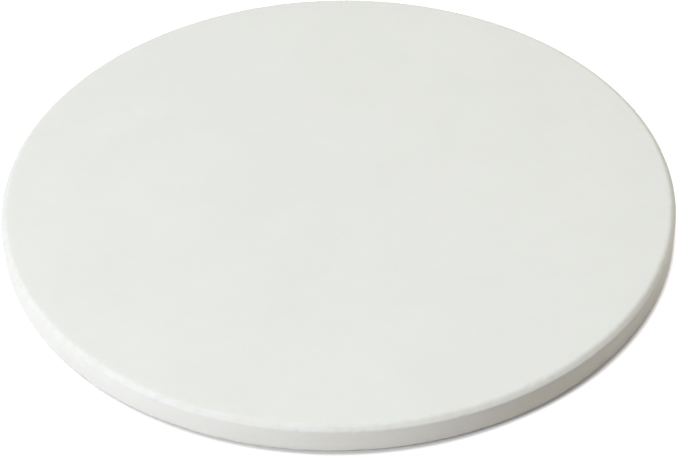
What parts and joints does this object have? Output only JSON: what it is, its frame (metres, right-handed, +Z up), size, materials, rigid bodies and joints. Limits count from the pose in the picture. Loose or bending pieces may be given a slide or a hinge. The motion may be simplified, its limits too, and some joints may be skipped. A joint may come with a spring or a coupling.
{
  "type": "pizza stone",
  "caption": "Round flat baking stone of unglazed fired ceramic, bevelled at the rim of both faces, for baking pizza and bread on an oven shelf.",
  "frame": {"origin": "centre of the underside, the flat face that the stone rests on", "axes": "+Z up, square to both faces, out through the baking face; the stone is round about Z, so X and Y are equal"},
  "size_m": [0.33, 0.33, 0.015],
  "materials": {
    "fired_ceramic": "matte"
  },
  "bodies": {
    "root": {"baking_stone": "fired_ceramic"}
  },
  "joints": []
}
